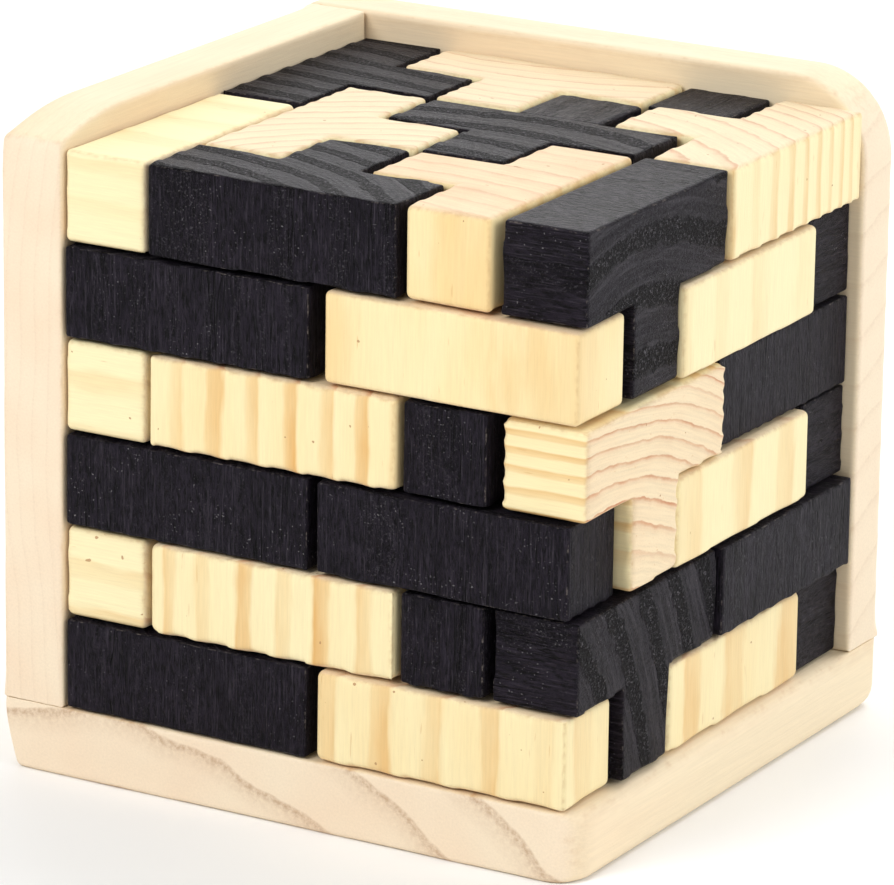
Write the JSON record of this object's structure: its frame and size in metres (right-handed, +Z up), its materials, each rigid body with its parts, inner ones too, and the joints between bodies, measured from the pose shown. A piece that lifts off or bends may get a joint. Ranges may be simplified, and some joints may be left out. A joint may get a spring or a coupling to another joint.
{
  "type": "wooden burr puzzle",
  "caption": "Interlocking T-shaped wooden blocks, natural and black-stained, packed into a solid cube that stands in an open corner tray of a base and two walls.",
  "frame": {"origin": "centre of the tray's underside, on the surface it stands on", "axes": "+Z up, +X towards the open right side, -Y towards the open front; the walls stand on the -X and +Y sides"},
  "size_m": [0.0688, 0.0676, 0.0703],
  "materials": {
    "natural_wood": "smooth sanded, unvarnished pine with orange growth rings",
    "black_stained_wood": "black stain over pine, soft sheen, grain showing",
    "tray_board": "smooth sanded, unvarnished pale pine with rounded edges"
  },
  "bodies": {
    "tray": {"base_board": "tray_board", "left_wall": "tray_board", "back_wall": "tray_board"},
    "block_bottom_a": {"block_bottom_a": "natural_wood"},
    "block_bottom_b": {"block_bottom_b": "black_stained_wood"},
    "block_bottom_c": {"block_bottom_c": "black_stained_wood"},
    "block_bottom_d": {"block_bottom_d": "black_stained_wood"},
    "block_bottom_e": {"block_bottom_e": "natural_wood"},
    "block_bottom_f": {"block_bottom_f": "natural_wood"},
    "block_bottom_g": {"block_bottom_g": "black_stained_wood"},
    "block_bottom_h": {"block_bottom_h": "black_stained_wood"},
    "block_bottom_i": {"block_bottom_i": "natural_wood"},
    "block_bottom_j": {"block_bottom_j": "black_stained_wood"},
    "block_bottom_k": {"block_bottom_k": "natural_wood"},
    "block_bottom_l": {"block_bottom_l": "black_stained_wood"},
    "block_bottom_m": {"block_bottom_m": "natural_wood"},
    "block_bottom_n": {"block_bottom_n": "natural_wood"},
    "block_bottom_o": {"block_bottom_o": "black_stained_wood"},
    "block_bottom_p": {"block_bottom_p": "natural_wood"},
    "block_bottom_q": {"block_bottom_q": "natural_wood"},
    "block_bottom_r": {"block_bottom_r": "black_stained_wood"},
    "block_middle_a": {"block_middle_a": "black_stained_wood"},
    "block_middle_b": {"block_middle_b": "natural_wood"},
    "block_middle_c": {"block_middle_c": "black_stained_wood"},
    "block_middle_d": {"block_middle_d": "natural_wood"},
    "block_middle_e": {"block_middle_e": "black_stained_wood"},
    "block_middle_f": {"block_middle_f": "natural_wood"},
    "block_middle_g": {"block_middle_g": "black_stained_wood"},
    "block_middle_h": {"block_middle_h": "natural_wood"},
    "block_middle_i": {"block_middle_i": "natural_wood"},
    "block_middle_j": {"block_middle_j": "black_stained_wood"},
    "block_middle_k": {"block_middle_k": "black_stained_wood"},
    "block_middle_l": {"block_middle_l": "black_stained_wood"},
    "block_middle_m": {"block_middle_m": "black_stained_wood"},
    "block_middle_n": {"block_middle_n": "natural_wood"},
    "block_middle_o": {"block_middle_o": "natural_wood"},
    "block_middle_p": {"block_middle_p": "natural_wood"},
    "block_middle_q": {"block_middle_q": "black_stained_wood"},
    "block_middle_r": {"block_middle_r": "natural_wood"},
    "block_top_a": {"block_top_a": "black_stained_wood"},
    "block_top_b": {"block_top_b": "natural_wood"},
    "block_top_c": {"block_top_c": "natural_wood"},
    "block_top_d": {"block_top_d": "black_stained_wood"},
    "block_top_e": {"block_top_e": "natural_wood"},
    "block_top_f": {"block_top_f": "black_stained_wood"},
    "block_top_g": {"block_top_g": "natural_wood"},
    "block_top_h": {"block_top_h": "black_stained_wood"},
    "block_top_i": {"block_top_i": "natural_wood"},
    "block_top_j": {"block_top_j": "black_stained_wood"},
    "block_top_k": {"block_top_k": "black_stained_wood"},
    "block_top_l": {"block_top_l": "black_stained_wood"},
    "block_top_m": {"block_top_m": "natural_wood"},
    "block_top_n": {"block_top_n": "natural_wood"},
    "block_top_o": {"block_top_o": "natural_wood"},
    "block_top_p": {"block_top_p": "black_stained_wood"},
    "block_top_q": {"block_top_q": "natural_wood"},
    "block_top_r": {"block_top_r": "black_stained_wood"}
  },
  "joints": [
    {"name": "lift_top_a", "type": "slide", "parent": "block_top_k", "child": "block_top_a", "axis": [0, 0, 1], "range_m": [0, 0.015]},
    {"name": "lift_top_b", "type": "slide", "parent": "block_top_k", "child": "block_top_b", "axis": [0, 0, 1], "range_m": [0, 0.015]},
    {"name": "lift_top_c", "type": "slide", "parent": "block_top_k", "child": "block_top_c", "axis": [0, 0, 1], "range_m": [0, 0.015]},
    {"name": "lift_top_d", "type": "slide", "parent": "block_top_k", "child": "block_top_d", "axis": [0, 0, 1], "range_m": [0, 0.015]},
    {"name": "lift_top_e", "type": "slide", "parent": "block_top_k", "child": "block_top_e", "axis": [0, 0, 1], "range_m": [0, 0.015]},
    {"name": "lift_top_f", "type": "slide", "parent": "block_top_k", "child": "block_top_f", "axis": [0, 0, 1], "range_m": [0, 0.015]},
    {"name": "lift_top_g", "type": "slide", "parent": "block_top_k", "child": "block_top_g", "axis": [0, 0, 1], "range_m": [0, 0.015]},
    {"name": "lift_top_h", "type": "slide", "parent": "block_top_k", "child": "block_top_h", "axis": [0, 0, 1], "range_m": [0, 0.025]},
    {"name": "lift_top_i", "type": "slide", "parent": "block_top_k", "child": "block_top_i", "axis": [0, 0, 1], "range_m": [0, 0.025]},
    {"name": "pull_top_l", "type": "slide", "parent": "block_middle_i", "child": "block_top_l", "axis": [0, -1, 0], "range_m": [0, 0.025]},
    {"name": "pull_top_m", "type": "slide", "parent": "block_middle_i", "child": "block_top_m", "axis": [0, -1, 0], "range_m": [0, 0.025]},
    {"name": "pull_top_n", "type": "slide", "parent": "block_middle_i", "child": "block_top_n", "axis": [1, 0, 0], "range_m": [0, 0.025]},
    {"name": "pull_middle_l", "type": "slide", "parent": "block_bottom_i", "child": "block_middle_l", "axis": [0, -1, 0], "range_m": [0, 0.025]},
    {"name": "pull_middle_m", "type": "slide", "parent": "block_bottom_i", "child": "block_middle_m", "axis": [0, -1, 0], "range_m": [0, 0.025]},
    {"name": "pull_middle_n", "type": "slide", "parent": "block_bottom_i", "child": "block_middle_n", "axis": [1, 0, 0], "range_m": [0, 0.025]},
    {"name": "pull_middle_h", "type": "slide", "parent": "block_bottom_i", "child": "block_middle_h", "axis": [1, 0, 0], "range_m": [0, 0.015]},
    {"name": "pull_middle_f", "type": "slide", "parent": "block_middle_r", "child": "block_middle_f", "axis": [0, -1, 0], "range_m": [0, 0.025]},
    {"name": "pull_middle_c", "type": "slide", "parent": "block_middle_k", "child": "block_middle_c", "axis": [1, 0, 0], "range_m": [0, 0.025]},
    {"name": "pull_bottom_l", "type": "slide", "parent": "tray", "child": "block_bottom_l", "axis": [0, -1, 0], "range_m": [0, 0.025]},
    {"name": "pull_bottom_m", "type": "slide", "parent": "tray", "child": "block_bottom_m", "axis": [0, -1, 0], "range_m": [0, 0.025]},
    {"name": "pull_bottom_n", "type": "slide", "parent": "tray", "child": "block_bottom_n", "axis": [1, 0, 0], "range_m": [0, 0.025]},
    {"name": "pull_bottom_h", "type": "slide", "parent": "tray", "child": "block_bottom_h", "axis": [1, 0, 0], "range_m": [0, 0.015]},
    {"name": "pull_bottom_f", "type": "slide", "parent": "block_bottom_r", "child": "block_bottom_f", "axis": [0, -1, 0], "range_m": [0, 0.025]},
    {"name": "pull_bottom_c", "type": "slide", "parent": "block_bottom_k", "child": "block_bottom_c", "axis": [1, 0, 0], "range_m": [0, 0.025]},
    {"name": "lift_bottom_o", "type": "slide", "parent": "tray", "child": "block_bottom_o", "axis": [0, 0, 1], "range_m": [0, 0.065]},
    {"name": "lift_bottom_p", "type": "slide", "parent": "block_bottom_o", "child": "block_bottom_p", "axis": [0, 0, 1], "range_m": [0, 0.065]},
    {"name": "lift_bottom_q", "type": "slide", "parent": "block_bottom_p", "child": "block_bottom_q", "axis": [0, 0, 1], "range_m": [0, 0.065]},
    {"name": "lift_bottom_r", "type": "slide", "parent": "block_bottom_q", "child": "block_bottom_r", "axis": [0, 0, 1], "range_m": [0, 0.065]},
    {"name": "lift_bottom_j", "type": "slide", "parent": "block_bottom_r", "child": "block_bottom_j", "axis": [0, 0, 1], "range_m": [0, 0.065]},
    {"name": "lift_bottom_k", "type": "slide", "parent": "block_bottom_j", "child": "block_bottom_k", "axis": [0, 0, 1], "range_m": [0, 0.065]},
    {"name": "lift_bottom_a", "type": "slide", "parent": "block_bottom_k", "child": "block_bottom_a", "axis": [0, 0, 1], "range_m": [0, 0.055]},
    {"name": "lift_bottom_b", "type": "slide", "parent": "block_bottom_a", "child": "block_bottom_b", "axis": [0, 0, 1], "range_m": [0, 0.055]},
    {"name": "lift_bottom_d", "type": "slide", "parent": "block_bottom_b", "child": "block_bottom_d", "axis": [0, 0, 1], "range_m": [0, 0.055]},
    {"name": "lift_bottom_e", "type": "slide", "parent": "block_bottom_d", "child": "block_bottom_e", "axis": [0, 0, 1], "range_m": [0, 0.055]},
    {"name": "lift_bottom_g", "type": "slide", "parent": "block_bottom_e", "child": "block_bottom_g", "axis": [0, 0, 1], "range_m": [0, 0.055]},
    {"name": "lift_bottom_i", "type": "slide", "parent": "block_bottom_g", "child": "block_bottom_i", "axis": [0, 0, 1], "range_m": [0, 0.065]},
    {"name": "lift_middle_o", "type": "slide", "parent": "block_bottom_i", "child": "block_middle_o", "axis": [0, 0, 1], "range_m": [0, 0.045]},
    {"name": "lift_middle_p", "type": "slide", "parent": "block_middle_o", "child": "block_middle_p", "axis": [0, 0, 1], "range_m": [0, 0.045]},
    {"name": "lift_middle_q", "type": "slide", "parent": "block_middle_p", "child": "block_middle_q", "axis": [0, 0, 1], "range_m": [0, 0.045]},
    {"name": "lift_middle_r", "type": "slide", "parent": "block_middle_q", "child": "block_middle_r", "axis": [0, 0, 1], "range_m": [0, 0.045]},
    {"name": "lift_middle_j", "type": "slide", "parent": "block_middle_r", "child": "block_middle_j", "axis": [0, 0, 1], "range_m": [0, 0.045]},
    {"name": "lift_middle_k", "type": "slide", "parent": "block_middle_j", "child": "block_middle_k", "axis": [0, 0, 1], "range_m": [0, 0.045]},
    {"name": "lift_middle_a", "type": "slide", "parent": "block_middle_k", "child": "block_middle_a", "axis": [0, 0, 1], "range_m": [0, 0.035]},
    {"name": "lift_middle_b", "type": "slide", "parent": "block_middle_a", "child": "block_middle_b", "axis": [0, 0, 1], "range_m": [0, 0.035]},
    {"name": "lift_middle_d", "type": "slide", "parent": "block_middle_b", "child": "block_middle_d", "axis": [0, 0, 1], "range_m": [0, 0.035]},
    {"name": "lift_middle_e", "type": "slide", "parent": "block_middle_d", "child": "block_middle_e", "axis": [0, 0, 1], "range_m": [0, 0.035]},
    {"name": "lift_middle_g", "type": "slide", "parent": "block_middle_e", "child": "block_middle_g", "axis": [0, 0, 1], "range_m": [0, 0.035]},
    {"name": "lift_middle_i", "type": "slide", "parent": "block_middle_g", "child": "block_middle_i", "axis": [0, 0, 1], "range_m": [0, 0.045]},
    {"name": "lift_top_o", "type": "slide", "parent": "block_middle_i", "child": "block_top_o", "axis": [0, 0, 1], "range_m": [0, 0.025]},
    {"name": "lift_top_p", "type": "slide", "parent": "block_top_o", "child": "block_top_p", "axis": [0, 0, 1], "range_m": [0, 0.025]},
    {"name": "lift_top_q", "type": "slide", "parent": "block_top_p", "child": "block_top_q", "axis": [0, 0, 1], "range_m": [0, 0.025]},
    {"name": "lift_top_r", "type": "slide", "parent": "block_top_q", "child": "block_top_r", "axis": [0, 0, 1], "range_m": [0, 0.025]},
    {"name": "lift_top_j", "type": "slide", "parent": "block_top_r", "child": "block_top_j", "axis": [0, 0, 1], "range_m": [0, 0.025]},
    {"name": "lift_top_k", "type": "slide", "parent": "block_top_j", "child": "block_top_k", "axis": [0, 0, 1], "range_m": [0, 0.025]}
  ]
}
